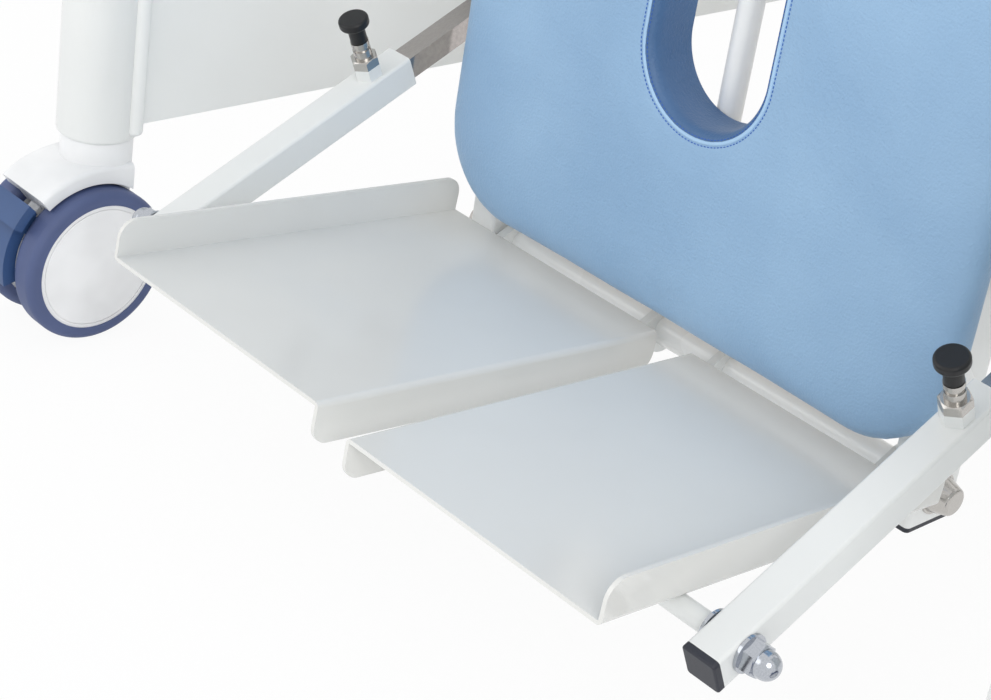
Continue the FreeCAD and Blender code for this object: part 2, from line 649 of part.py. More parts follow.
POSITIONS = {}
for s, side in SIDES:
    y_rear = PIVOT_Y - PLATE_REAR_OFFSET
    y_front = y_rear - PLATE_DEPTH
    top = PIVOT_Z - PLATE_TOP_DROP
    xi = s * PLATE_INNER_X
    xo = s * PLATE_OUTER_X
    sheet = box(xi, xo, y_front, y_rear, top - PLATE_T, top)
    up = box(xo - s * PLATE_T, xo, y_front, y_rear, top - PLATE_T, top + PLATE_OUTER_FLANGE)
    up = corner_rounded(up, s, top + PLATE_OUTER_FLANGE, 1)
    down = box(xi, xi + s * PLATE_T, y_front, y_rear, top, top - PLATE_INNER_FLANGE)
    down = corner_rounded(down, s, top - PLATE_INNER_FLANGE, -1)
    body = sheet.fuse([up, down]).removeSplitter()
    bends = []
    for e in body.Edges:
        c = e.CenterOfMass
        along_y = e.Length > 0.8 * PLATE_DEPTH
        outside_up = abs(c.x - xo) < 1e-6 and abs(c.z - top + PLATE_T) < 1e-6
        outside_down = abs(c.x - xi) < 1e-6 and abs(c.z - top) < 1e-6
        if along_y and (outside_up or outside_down):
            bends.append(e)
    body = body.makeFillet(PLATE_BEND_R, bends)
    add("footplate_" + side, tilted(body, s))

    lugs = []
    for x0 in (LUG_INNER_X, LUG_OUTER_X):
        under = PIVOT_Z + PLATE_UNDER
        outline = [(PIVOT_Y - LUG_REACH, under), (y_rear + 0.3, under), (PIVOT_Y - 0.55 * LUG_R, PIVOT_Z + 0.83 * LUG_R),
                   (PIVOT_Y, PIVOT_Z), (PIVOT_Y, PIVOT_Z - LUG_R), (PIVOT_Y - LUG_REACH, under - LUG_TAIL_H)]
        lug = yz_prism(outline, s * x0, s * (x0 + LUG_T))
        lug = lug.fuse(cyl_x(LUG_R, s * x0, s * (x0 + LUG_T), PIVOT_Y, PIVOT_Z))
        bore = cyl_x(PIVOT_TUBE_R + LUG_FIT, s * (x0 - 1), s * (x0 + LUG_T + 1), PIVOT_Y, PIVOT_Z)
        lugs.append(tilted(lug.cut(bore).removeSplitter(), s))
    add("hinge_lugs_" + side, *lugs)

    bolt_y = y_rear - FRONT_BAR_S
    bolt_z = PIVOT_Z + PLATE_UNDER - FRONT_BAR_R
    arm_in = s * (ARM_X - ARM_SIZE / 2 - ARM_SIDE_GAP)
    arm_out = s * (ARM_X + ARM_SIZE / 2 + ARM_SIDE_GAP)
    bar_end = arm_in - s * WASHER_T
    front_bar = cyl_x(FRONT_BAR_R, s * FRONT_BAR_START, bar_end, bolt_y, bolt_z)
    add("front_bar_" + side, tilted(front_bar, s))
    stud = cyl_x(BOLT_R, bar_end, arm_out + s * WASHER_T, bolt_y, bolt_z)
    rings = []
    for xa in (bar_end, arm_out):
        ring = cyl_x(WASHER_R, xa, xa + s * WASHER_T, bolt_y, bolt_z)
        ring = ring.cut(cyl_x(BOLT_R + WASHER_BORE_GAP, xa - s, xa + s * (WASHER_T + 1), bolt_y, bolt_z))
        rings.append(tilted(ring, s))
    nut_x = arm_out + s * WASHER_T
    hexagon = hex_along(ACORN_AF, Vector(nut_x, bolt_y, bolt_z), Vector(s, 0, 0), ACORN_HEX_H)
    hexagon = hexagon.common(chamfered_drum(ACORN_AF, Vector(nut_x, bolt_y, bolt_z), Vector(s, 0, 0), ACORN_HEX_H))
    dome_x = nut_x + s * (ACORN_HEX_H + ACORN_NECK)
    ball = Part.makeSphere(ACORN_DOME_R, Vector(dome_x, bolt_y, bolt_z))
    keep = cyl_x(ACORN_DOME_R + 1, dome_x, dome_x + s * (ACORN_DOME_R + 1), bolt_y, bolt_z)
    drum = cyl_x(ACORN_DOME_R, nut_x + s * ACORN_HEX_H / 2, dome_x, bolt_y, bolt_z)
    bolt = stud.fuse([hexagon, drum, ball.common(keep)]).removeSplitter()
    add("arm_bolt_" + side, tilted(bolt, s), *rings)

    # Arm and bar lie on the line from the bolt to the anchor
    marker = tilted(Part.Vertex(Vector(0, bolt_y, bolt_z)), s)
    by = marker.Point.y
    bz = marker.Point.z
    slope = math.degrees(math.atan2(ANCHOR_Z - bz, ANCHOR_Y - by))
    reach = math.hypot(ANCHOR_Z - bz, ANCHOR_Y - by)

    def along(shape):
        """Carry a piece drawn along +Y from the origin onto the arm line."""
        out_shape = shape.copy()
        out_shape.rotate(Vector(0, 0, 0), Vector(1, 0, 0), slope)
        out_shape.translate(Vector(0, by, bz))
        return out_shape

    half = ARM_SIZE / 2
    xc = s * ARM_X
    tube = tube_between(xc - half, xc + half, -ARM_TAIL, ARM_LEN, -half, half, ARM_WALL, "y", ARM_ROUND)
    tube = tube.cut(cyl_x(BOLT_R + BOLT_FIT, xc - half - 1, xc + half + 1, 0, 0))
    tube = tube.cut(Part.makeCylinder(PIN_R + PIN_FIT, half + 1, Vector(xc, PLUNGER_U, 0), Vector(0, 0, 1)))
    add("arm_tube_" + side, along(tube))
    inset = half - ARM_WALL - ARM_CAP_GAP
    end_cap = long_round(box(xc - half, xc + half, -ARM_TAIL - ARM_CAP_T, -ARM_TAIL, -half, half), ARM_ROUND, "y")
    rim = [e for e in end_cap.Edges if abs(e.CenterOfMass.y + ARM_TAIL + ARM_CAP_T) < 1e-6]
    end_cap = end_cap.makeFillet(0.3 * ARM_CAP_T, rim)
    plug = box(xc - inset, xc + inset, -ARM_TAIL, -ARM_TAIL + ARM_CAP_PLUG, -inset, inset)
    add("arm_end_cap_" + side, along(end_cap.fuse(plug).removeSplitter()))
    boss_top = half + BOSS_H
    nut_top = boss_top + LOCKNUT_H
    sleeve_top = nut_top + SLEEVE_H
    boss = hex_along(BOSS_AF, Vector(xc, PLUNGER_U, half), Vector(0, 0, 1), BOSS_H)
    nut_foot = Vector(xc, PLUNGER_U, boss_top)
    locknut = hex_along(LOCKNUT_AF, nut_foot, Vector(0, 0, 1), LOCKNUT_H)
    locknut = locknut.common(chamfered_drum(LOCKNUT_AF, nut_foot, Vector(0, 0, 1), LOCKNUT_H))
    sleeve = cyl_z(SLEEVE_R, xc, PLUNGER_U, nut_top, sleeve_top)
    waist_z = (nut_top + sleeve_top) / 2
    waist = cyl_z(SLEEVE_R + 1, xc, PLUNGER_U, waist_z, waist_z + SLEEVE_GROOVE_W)
    waist = waist.cut(cyl_z(SLEEVE_R - SLEEVE_GROOVE, xc, PLUNGER_U, waist_z - 1, waist_z + SLEEVE_GROOVE_W + 1))
    sleeve = sleeve.cut(waist)
    bore = cyl_z(PIN_R + PIN_FIT, xc, PLUNGER_U, half - 1, sleeve_top + 1)
    add("plunger_boss_" + side, along(boss.cut(bore)))
    add("plunger_sleeve_" + side, along(locknut.fuse(sleeve).cut(bore).removeSplitter()))
    knob_z = sleeve_top + KNOB_GAP
    pin = cyl_z(PIN_R, xc, PLUNGER_U, half - ARM_WALL + PIN_TIP_UP, knob_z)
    stalk = cyl_z(KNOB_STALK_R, xc, PLUNGER_U, knob_z, knob_z + KNOB_STALK_H)
    head = cyl_z(KNOB_R, xc, PLUNGER_U, knob_z + KNOB_STALK_H, knob_z + KNOB_STALK_H + KNOB_H)
    head = head.makeFillet(KNOB_ROUND, [e for e in head.Edges if e.Closed and e.Length < 1.1 * 2 * math.pi * KNOB_R
                                        and len(e.Vertexes) == 1])
    add("plunger_knob_" + side, along(head.fuse(stalk).removeSplitter()), along(pin))
    hb = BAR_SIZE / 2
    bar = box(xc - hb, xc + hb, BAR_START, reach, -hb, hb)
    bar = bar.fuse(cyl_x(ANCHOR_EYE_R, xc - hb, xc + hb, reach, 0))
    bar = bar.cut(cyl_x(ANCHOR_PIN_R + ANCHOR_FIT, xc - hb - 1, xc + hb + 1, reach, 0))
    for i in range(BAR_HOLES):
        u = BAR_START + BAR_HOLE_FIRST + i * BAR_HOLE_PITCH
        bar = bar.cut(cyl_z(BAR_HOLE_R, xc, u, -hb - 1, hb + 1))
    add("support_bar_" + side, along(bar.removeSplitter()))
    lift = along(Part.makeLine(Vector(0, 0, 0), Vector(0, 0, 1)))
    tip = lift.Vertexes[1].Point - lift.Vertexes[0].Point
    POSITIONS[side] = dict(bolt=[by, bz], slope=slope, reach=reach, lift=[tip.y, tip.z])


# Castors: hood with swivel stem, wheel pair with axle, tyres, brake pedal
def sector(axle, back, r, low_deg, high_deg, half_w):
    """Wedge about the wheel's axle, its angles measured up from the trailing direction."""
    points = [Vector(-half_w, axle[0], axle[1])]
    steps = 6
    for i in range(steps + 1):
        t = math.radians(low_deg + (high_deg - low_deg) * i / steps)
        far = 2.0 * r
        points.append(Vector(-half_w, axle[0] + back * far * math.cos(t), axle[1] + far * math.sin(t)))
    wedge = Part.Face(Part.makePolygon(points + [points[0]])).extrude(Vector(2 * half_w, 0, 0))
    return wedge.common(cyl_x(r, -half_w, half_w, axle[0], axle[1]))


def ring_sector(axle, back, r_in, r_out, low_deg, high_deg, half_w):
    piece = sector(axle, back, r_out, low_deg, high_deg, half_w)
    return piece.cut(cyl_x(r_in, -half_w - 1, half_w + 1, axle[0], axle[1]))


def castor_hood(back, axle, pin):
    """White hood over the inner halves of both wheels, with neck, stem and pedal lug."""
    side = -HOOD_HALF_W
    curve = Part.BSplineCurve()
    crest = [Vector(side, axle[0] + back * f, z) for f, z in HOOD_OUTLINE]
    curve.interpolate(crest)
    first = crest[0]
    last = crest[-1]
    hub = Vector(side, axle[0], axle[1])
    heel = Vector(side, first.y, HOOD_REAR_Z)
    lines = [Part.makeLine(last, hub), Part.makeLine(hub, heel), Part.makeLine(heel, first)]
    wire = Part.Wire([curve.toShape()] + lines)
    hood = Part.Face(wire).extrude(Vector(2 * HOOD_HALF_W, 0, 0))
    crown = []
    for e in hood.Edges:
        c = e.CenterOfMass
        on_side = abs(abs(c.x) - HOOD_HALF_W) < 1e-6 and c.z > HOOD_OUTLINE[-1][1]
        if on_side and e.Curve.TypeId == "Part::GeomBSplineCurve":
            crown.append(e)
    hood = hood.makeFillet(HOOD_ROUND, crown)
    top_z = POST_BOTTOM_Z - SWIVEL_GAP
    neck = cyl_z(NECK_R, 0, 0, HOOD_REAR_Z, top_z)
    stem = cyl_z(STEM_R, 0, 0, top_z - 1, POST_BOTTOM_Z + STEM_LEN)
    core = cyl_x(CORE_R, -HOOD_HALF_T, HOOD_HALF_T, axle[0], axle[1])
    body = hood.fuse([neck, core, stem])
    beyond = 2 * HOOD_HALF_W
    for t in (-1, 1):
        body = body.cut(cyl_x(WHEEL_R + HOOD_CLEAR, t * HOOD_HALF_T, t * beyond, axle[0], axle[1]))
    room = ring_sector(axle, back, PEDAL_ROOM_R, 2 * WHEEL_R, PEDAL_ROOM_DEG, HOOD_END_DEG, beyond)
    body = body.cut(room)
    cheek_room = ring_sector(axle, back, PEDAL_CHEEK_ROOM_R, 2 * WHEEL_R, PEDAL_ROOM_DEG, HOOD_END_DEG, beyond)
    far = 3 * WHEEL_R
    for t in (-1, 1):
        side_box = box(t * PEDAL_LUG_HALF, t * beyond, -far, far, -far, far)
        body = body.cut(cheek_room.common(side_box))
    body = body.fuse(cyl_x(PEDAL_BOSS_R, -PEDAL_LUG_HALF, PEDAL_LUG_HALF, pin[0], pin[1]))
    body = body.cut(cyl_x(AXLE_R + AXLE_FIT, -HOOD_HALF_T - 1, HOOD_HALF_T + 1, axle[0], axle[1]))
    pin_bore = cyl_x(PEDAL_PIN_R + PEDAL_FIT, -HOOD_HALF_T - 1, HOOD_HALF_T + 1, pin[0], pin[1])
    return body.cut(pin_bore).removeSplitter()


def castor_pedal(back, axle, pin):
    """Brake pedal between the wheels: pin, two cheeks, curved shell and the lip that a toe presses."""
    cheek_in = PEDAL_LUG_HALF + PEDAL_SIDE_GAP
    cheek_out = cheek_in + PEDAL_CHEEK_T
    pedal = ring_sector(axle, back, PEDAL_SHELL_IN, PEDAL_SHELL_OUT, PEDAL_LOW_DEG, PEDAL_HIGH_DEG, cheek_out)
    lip = ring_sector(axle, back, PEDAL_SHELL_OUT, PEDAL_LIP_OUT, PEDAL_LIP_LOW_DEG, PEDAL_HIGH_DEG, PEDAL_LIP_HALF)
    pedal = pedal.fuse(cyl_x(PEDAL_PIN_R, -cheek_out, cheek_out, pin[0], pin[1]))
    t = math.radians(PEDAL_PIN_DEG)
    far = (axle[0] + back * (PEDAL_SHELL_IN + 3) * math.cos(t), axle[1] + (PEDAL_SHELL_IN + 3) * math.sin(t))
    wide = PEDAL_BOSS_R
    across = (-back * math.sin(t) * wide, math.cos(t) * wide)
    outline = [(pin[0] + across[0], pin[1] + across[1]), (far[0] + across[0], far[1] + across[1]),
               (far[0] - across[0], far[1] - across[1]), (pin[0] - across[0], pin[1] - across[1])]
    for side in (-1, 1):
        cheek = cyl_x(PEDAL_BOSS_R, side * cheek_in, side * cheek_out, pin[0], pin[1])
        pedal = pedal.fuse([cheek, yz_prism(outline, side * cheek_in, side * cheek_out)])
    return [pedal.removeSplitter(), lip]


def castor(s, y, back, tag):
    """Twin-wheel castor under one post; back = +1 trails to the rear, -1 to the front."""
    x = s * POST_X
    axle = (back * TRAIL, WHEEL_R)
    t = math.radians(PEDAL_PIN_DEG)
    pin = (axle[0] + back * PEDAL_PIN_AT * math.cos(t), axle[1] + PEDAL_PIN_AT * math.sin(t))
    body = castor_hood(back, axle, pin)
    pedal = castor_pedal(back, axle, pin)
    inner = HOOD_HALF_T + WHEEL_GAP
    mid = inner + TYRE_W / 2
    rims = cyl_x(AXLE_R, -mid, mid, *axle)
    dome_r = (RIM_R ** 2 + RIM_DOME ** 2) / (2 * RIM_DOME)
    tyres = []
    for side in (-1, 1):
        face = mid + RIM_W / 2
        disc = cyl_x(RIM_R, side * (mid - RIM_W / 2), side * (face + RIM_DOME), *axle)
        ball = Part.makeSphere(dome_r, Vector(side * (face + RIM_DOME - dome_r), *axle))
        disc = disc.common(ball)
        ring = cyl_x(RING_R + RING_W / 2, side * (face - RING_DEPTH), side * (face + 5), *axle)
        ring = ring.cut(cyl_x(RING_R - RING_W / 2, side * (face - 5), side * (face + 6), *axle))
        rims = rims.fuse(disc.cut(ring))
        tyre = cyl_x(WHEEL_R, side * inner, side * (inner + TYRE_W), *axle)
        tyre = tyre.makeFillet(TYRE_ROUND, [e for e in tyre.Edges if e.Closed and len(e.Vertexes) == 1])
        tyre = tyre.cut(cyl_x(RIM_R, side * (inner - 1), side * (inner + TYRE_W + 1), *axle))
        tyres.append(tyre)
    rims = rims.removeSplitter()
    for shape in [body, rims] + pedal + tyres:
        shape.translate(Vector(x, y, 0))
    add("castor_hood_" + tag, body)
    add("castor_rims_" + tag, rims)
    add("castor_tyres_" + tag, *tyres)
    add("castor_pedal_" + tag, *pedal)
    POSITIONS[tag] = dict(stem=[x, y], axle=[x, y + axle[0], axle[1]], pedal=[x, y + pin[0], pin[1]], back=back)


for s, side in SIDES:
    castor(s, POST_FRONT_Y, -1, "front_" + side)
    castor(s, POST_REAR_Y, 1, "rear_" + side)

# Origin: middle of the bounding box on the floor
whole = Part.Compound(list(SHAPES.values())).optimalBoundingBox(False, False)
SHIFT_Y = -(whole.YMin + whole.YMax) / 2
for name, shape in SHAPES.items():
    moved = shape.copy()
    moved.translate(Vector(0, SHIFT_Y, 0))
    moved.exportStep("parts/" + name + ".step")
print("shift_y", repr(SHIFT_Y))
print("box", whole.XMin, whole.XMax, whole.YMin, whole.YMax, whole.ZMin, whole.ZMax)
print("pivot", PIVOT_Y, PIVOT_Z, "trunnion", TRUNNION_Y, TRUNNION_Z, "anchor", ANCHOR_Y, ANCHOR_Z)
for key, value in POSITIONS.items():
    print("place", key, value)
print("nodes", len(SHAPES))
for name, shape in SHAPES.items():
    if not shape.isValid():
        print("invalid", name)
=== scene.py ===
import json
import math

import bpy
from mathutils import Matrix, Vector
from mathutils.bvhtree import BVHTree


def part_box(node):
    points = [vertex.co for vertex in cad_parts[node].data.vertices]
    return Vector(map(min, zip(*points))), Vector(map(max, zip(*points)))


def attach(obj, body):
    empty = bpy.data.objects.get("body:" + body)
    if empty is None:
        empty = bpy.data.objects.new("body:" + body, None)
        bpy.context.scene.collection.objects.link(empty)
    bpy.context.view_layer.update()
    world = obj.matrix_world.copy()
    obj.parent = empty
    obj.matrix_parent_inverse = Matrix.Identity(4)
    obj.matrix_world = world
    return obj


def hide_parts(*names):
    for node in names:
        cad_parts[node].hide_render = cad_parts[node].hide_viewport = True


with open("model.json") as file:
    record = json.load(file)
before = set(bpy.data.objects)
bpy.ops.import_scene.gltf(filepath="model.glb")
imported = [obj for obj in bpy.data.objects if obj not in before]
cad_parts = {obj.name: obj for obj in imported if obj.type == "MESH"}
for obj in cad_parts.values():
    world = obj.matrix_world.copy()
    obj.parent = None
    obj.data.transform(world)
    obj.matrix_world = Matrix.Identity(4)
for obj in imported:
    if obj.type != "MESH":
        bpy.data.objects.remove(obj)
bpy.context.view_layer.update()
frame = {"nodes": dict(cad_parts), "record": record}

bl_info = {
    "name": "Tilt table dressing",
    "version": (1, 0, 0),
    "blender": (4, 5, 0),
    "location": "View3D > Sidebar > Tilt table",
    "description": "Upholstery, finishes and studio stage for a physiotherapy tilt table",
    "category": "Object",
}

MM = 0.001
METRE_MM = 1000.0
WHITE = (1.0, 1.0, 1.0, 1.0)

# Camera frame
PHOTO_WIDTH = 991
SENSOR_WIDTH = 36.0

# Places taken from the frame
LEG_LOW, LEG_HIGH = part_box("leg_pad")
PAD_FACE = LEG_LOW[1]
BOARD_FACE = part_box("pad_boards")[0][1]

# The slot in the leg pad, and how much wider it is at some depths behind the pad's face
SLOT_HALF = 60.0 * MM
SLOT_LOW = LEG_LOW[2] + 179.0 * MM
SLOT_HIGH = SLOT_LOW + 520.0 * MM
SLOT_FLARE = ((0.0, 7.5 * MM), (3.0 * MM, 3.0 * MM), (12.0 * MM, 0.0))

# Cloth step, and the depths over which the board and the slot's seam hold the cover
CLOTH_FRAMES = 20
CLOTH_QUALITY = 4
CLOTH_PRESSURE = 4.0
CLOTH_STIFFNESS = 40.0
CLOTH_BENDING = 4.0
BOARD_HOLD = 12.0 * MM
SEAM_HOLD = 40.0 * MM

# Slot lining: depth behind the pad's face and growth beyond the slot's wall of each front ring, in mm
LINING_FRONT = ((-0.2, 6.4), (0.8, 4.8), (2.2, 3.0), (4.5, 1.3), (8.0, 0.0), (12.0, -0.6))
LINING_WALL = -0.6
LINING_HEM = ((0.6, 0.2), (0.6, 3.0))
LINING_SIDES = 128
LINING_THICK = 0.5 * MM
LINING_CLEAR = 0.8 * MM
LINING_SHARP = math.radians(50.0)

# Sewing
LOOP_STEP = 6.0 * MM
RAY_START = 0.1
STITCH_RISE = 0.2

# Stage
LAMP_AIM = (0.0, -0.4, 0.4)
KEY_PLACE = (3.0, -2.4, 2.5)
KEY_SIZE = 2.2
FILL_PLACE = (-1.9, -3.2, 1.6)
FILL_SIZE = 2.4
FLOOR_SIZE = 30.0
FLOOR_DROP = 0.4 * MM
FLOOR_GLOW = 0.93


def linear(hex_colour):
    """An sRGB hex value as linear red, green and blue."""
    parts = []
    for start in (0, 2, 4):
        v = int(hex_colour[start:start + 2], 16) / 255.0
        parts.append(v / 12.92 if v <= 0.04045 else ((v + 0.055) / 1.055) ** 2.4)
    return tuple(parts)


def colour(name, hex_colour, description):
    """A colour that a user may change."""
    return bpy.props.FloatVectorProperty(
        name=name, description=description, subtype="COLOR", size=3, min=0.0, max=1.0,
        default=linear(hex_colour))


def millimetres(name, default, description):
    """A length that a user may change, given in millimetres."""
    return bpy.props.FloatProperty(
        name=name, description=description, default=default * MM, unit="LENGTH", precision=4)


class TILT_PG_upholstery(bpy.types.PropertyGroup):
    """Sizes and colours of the pads."""

    vinyl: colour("Vinyl", "8BAED0", "Cover of both pads")
    vinyl_light: colour("Vinyl, stretched", "94B6D6", "Lighter cast where the cover is pulled tight")
    # Slot wall: the same vinyl as the cover, painted much darker as painted shade inside the slot
    slot_wall_painted_shade: colour("Slot wall", "456892", "Lining of the slot")
    # Welt: the cover's vinyl painted lighter, as a painted highlight on the glossy raised seam
    welt_painted_highlight: colour("Welt", "A3C5E4", "Raised seam round the slot")
    thread: colour("Thread", "2F62B8", "Stitching beside the slot")
    welt_radius: millimetres("Welt radius", 2.0, "Half the thickness of the raised seam")
    stitch_length: millimetres("Stitch length", 2.5, "Length of one stitch")
    stitch_pitch: millimetres("Stitch pitch", 3.5, "From one stitch to the next")
    stitch_thickness: millimetres("Stitch thickness", 1.0, "Thickness of the thread")
    seam_at: millimetres("Seam", 7.5, "From the slot's wall to the raised seam")
    row_inner: millimetres("Inner row", 4.6, "From the slot's wall to the inner row of stitches")
    row_outer: millimetres("Outer row", 10.4, "From the slot's wall to the outer row of stitches")
    swell: millimetres("Swell", 4.0, "Most that the cover may rise over the foam")
    voxel: millimetres("Mesh step", 6.0, "Step of the even mesh that is inflated")


class TILT_PG_finishes(bpy.types.PropertyGroup):
    """Colours of the frame, the fittings and the castors."""

    coat: colour("Powder coat", "E2E4E3", "Base and arms")
    plate: colour("Footplate coat", "DEDEDB", "Footplates")
    # Tube coat: the frame's white powder coat painted lighter, as painted light on the stringers and tubes
    # that sit in the pads' shade
    tube: colour("Tube coat", "F4F5F4", "Stringers and the tubes of the top")
    laminate: colour("Laminate", "EAECEB", "Side panels")
    chrome: colour("Chrome", "B5AFAC", "Telescopic bars")
    zinc: colour("Zinc", "BABEC5", "Bolts and washers")
    stainless: colour("Stainless", "BEBBB7", "Cap nuts and plunger bodies")
    knob: colour("Knob", "0B0C10", "Plunger knobs")
    cap: colour("End cap", "262934", "Plugs in the tube ends")
    castor: colour("Castor plastic", "F3F3F4", "Castor wheel discs")
    # Hood plastic: the castor nylon painted a little darker, as painted shade on the hoods
    hood_painted_shade: colour("Hood plastic", "ECEDEE", "Castor hoods")
    tyre: colour("Tyre", "4D5A82", "Castor tyres")
    pedal: colour("Pedal", "36527F", "Brake pedals")
    plywood: colour("Plywood", "C9A97C", "Boards behind the pads")
    casting: colour("Casting", "9DA2A6", "Drive and bearing housings")
    steel: colour("Steel", "A4A8AC", "Trunnion shafts")


class TILT_PG_stage(bpy.types.PropertyGroup):
    """Camera, floor and light."""

    floor: colour("Floor", "F4F5F5", "Plain floor and backdrop")
    eye: bpy.props.FloatVectorProperty(
        name="Camera place", description="Where the camera stands", subtype="TRANSLATION", unit="LENGTH",
        default=(1.0623, -1.6381, 1.0363))
    azimuth: bpy.props.FloatProperty(
        name="Azimuth", description="Direction of the camera round the table", subtype="ANGLE",
        default=math.radians(43.50))
    elevation: bpy.props.FloatProperty(
        name="Elevation", description="Camera's angle above the horizon", subtype="ANGLE",
        default=math.radians(27.92))
    roll: bpy.props.FloatProperty(
        name="Roll", description="Turn of the camera about its own axis", subtype="ANGLE",
        default=math.radians(9.14))
    focal: bpy.props.FloatProperty(
        name="Focal length", description="Focal length in pixels of the photograph's frame", default=2253.2)
    key_power: bpy.props.FloatProperty(
        name="Key light", description="Large soft lamp on the right", unit="POWER", default=45.0)
    fill_power: bpy.props.FloatProperty(
        name="Fill light", description="Large soft lamp on the left", unit="POWER", default=14.0)
    sky: bpy.props.FloatProperty(
        name="Room light", description="Even light from all sides", default=0.94)


# Small helpers


def only(piece):
    """Select one object and nothing else."""
    if bpy.context.object and bpy.context.object.mode != "OBJECT":
        bpy.ops.object.mode_set(mode="OBJECT")
    bpy.ops.object.select_all(action="DESELECT")
    piece.select_set(True)
    bpy.context.view_layer.objects.active = piece


def apply_modifier(piece, modifier):
    """Apply one modifier to a piece."""
    only(piece)
    bpy.ops.object.modifier_apply(modifier=modifier.name)


def settle(piece, name):
    """Name a piece and bring its place into its mesh."""
    piece.name = name
    piece.data.name = name
    only(piece)
    bpy.ops.object.transform_apply(location=True, rotation=True, scale=True)


def face_outward(piece):
    """Turn every face of a piece outward."""
    only(piece)
    bpy.ops.object.mode_set(mode="EDIT")
    bpy.ops.mesh.select_all(action="SELECT")
    bpy.ops.mesh.normals_make_consistent(inside=False)
    bpy.ops.object.mode_set(mode="OBJECT")


def paint(piece, material):
    """Give a piece one material."""
    piece.data.materials.clear()
    piece.data.materials.append(material)


def new_finish(name):
    """A material with its node tree and its shader."""
    material = bpy.data.materials.new(name)
    material.use_nodes = True
    tree = material.node_tree
    return material, tree, tree.nodes["Principled BSDF"]


def add_node(tree, kind, links=None, inputs=None, **settings):
    """Add one node, set it and link it: links maps an input to (node, output)."""
    made = tree.nodes.new(kind)
    for key, value in settings.items():
        setattr(made, key, value)
    for key, value in (inputs or {}).items():
        made.inputs[key].default_value = value
    for key, (source, output) in (links or {}).items():
        tree.links.new(source.outputs[output], made.inputs[key])
    return made


def set_shader(shader, **values):
    """Set a shader's plain inputs by their names in small letters."""
    for key, value in values.items():
        shader.inputs[key.replace("_", " ").title().replace("Ior", "IOR")].default_value = value


def shade(rgb, factor):
    """A colour made lighter or darker, with full alpha."""
    return tuple(min(1.0, c * factor) for c in rgb) + (1.0,)


def own_place(tree):
    """The piece's own coordinates, as a pair of node and output."""
    return add_node(tree, "ShaderNodeTexCoord"), "Object"


def drawn_place(tree, stretch):
    """The piece's own coordinates, stretched along its axes."""
    drawn = add_node(tree, "ShaderNodeMapping", links={"Vector": own_place(tree)}, inputs={"Scale": stretch})
    return drawn, "Vector"


def noise(tree, place, size_mm, detail, distortion=0.0):
    """Noise whose grains have a real size."""
    return add_node(
        tree, "ShaderNodeTexNoise", links={"Vector": place},
        inputs={"Scale": METRE_MM / size_mm, "Detail": detail, "Distortion": distortion})


def tint(tree, shader, source, dark, light, low=0.35, high=0.65):
    """Let the base colour wander between two tones."""
    ramp = add_node(tree, "ShaderNodeValToRGB", links={"Fac": (source, "Fac")})
    first, last = ramp.color_ramp.elements
    first.position = low
    first.color = dark
    last.position = high
    last.color = light
    tree.links.new(ramp.outputs["Color"], shader.inputs["Base Color"])


def roughen(tree, shader, source, least, most):
    """Let the roughness wander between two values."""
    gloss = add_node(tree, "ShaderNodeMapRange", links={"Value": (source, "Fac")},
                     inputs={"To Min": least, "To Max": most})
    tree.links.new(gloss.outputs["Result"], shader.inputs["Roughness"])


def emboss(tree, shader, source, output, strength, height_mm):
    """Raise the surface by a pattern."""
    bump = add_node(tree, "ShaderNodeBump", links={"Height": (source, output)},
                    inputs={"Strength": strength, "Distance": height_mm * MM})
    tree.links.new(bump.outputs["Normal"], shader.inputs["Normal"])


# Finishes


def vinyl(name, base, light, grain_mm, depth):
    """Calendered upholstery vinyl: a fine pebble grain under a soft sheen."""
    material, tree, shader = new_finish(name)
    place = own_place(tree)
    cloud = noise(tree, place, size_mm=140.0, detail=3.0)
    tint(tree, shader, cloud, shade(base, 0.97), light + (1.0,))
    pebbles = add_node(tree, "ShaderNodeTexVoronoi", links={"Vector": place},
                       inputs={"Scale": METRE_MM / grain_mm}, feature="SMOOTH_F1")
    creases = noise(tree, place, size_mm=0.7 * grain_mm, detail=4.0)
    grain = add_node(tree, "ShaderNodeMath", links={0: (pebbles, "Distance"), 1: (creases, "Fac")},
                     operation="ADD")
    emboss(tree, shader, grain, 0, strength=depth, height_mm=0.4)
    roughen(tree, shader, creases, least=0.40, most=0.54)
    set_shader(shader, ior=1.5, sheen_weight=0.12, sheen_roughness=0.4)
    return material


def thread(name, base):
    """Bonded polyester sewing thread: a fine twist across each stitch."""
    material, tree, shader = new_finish(name)
    twist = noise(tree, own_place(tree), size_mm=0.8, detail=2.0)
    tint(tree, shader, twist, shade(base, 0.75), shade(base, 1.15))
    set_shader(shader, roughness=0.6, ior=1.5)
    return material


def powder_coat(name, base, peel_mm, rough):
    """Glossy powder coat on steel: a faint orange peel, a little dust in the gloss."""
    material, tree, shader = new_finish(name)
    place = own_place(tree)
    cloud = noise(tree, place, size_mm=220.0, detail=3.0)
    tint(tree, shader, cloud, shade(base, 0.97), shade(base, 1.02))
    peel = noise(tree, place, size_mm=peel_mm, detail=1.0)
    emboss(tree, shader, peel, "Fac", strength=0.10, height_mm=0.2)
    roughen(tree, shader, cloud, least=rough, most=rough + 0.10)
    set_shader(shader, ior=1.5, coat_weight=0.25, coat_roughness=0.12)
    return material


def bare_metal(name, base, rough, line_mm, stretch, depth):
    """Plated or brushed metal: fine lines drawn along one direction of the finish."""
    material, tree, shader = new_finish(name)
    lines = noise(tree, drawn_place(tree, stretch), size_mm=line_mm, detail=3.0)
    tint(tree, shader, lines, shade(base, 0.92), shade(base, 1.05))
    roughen(tree, shader, lines, least=0.8 * rough, most=1.3 * rough)
    emboss(tree, shader, lines, "Fac", strength=depth, height_mm=0.05)
    set_shader(shader, metallic=1.0)
    return material


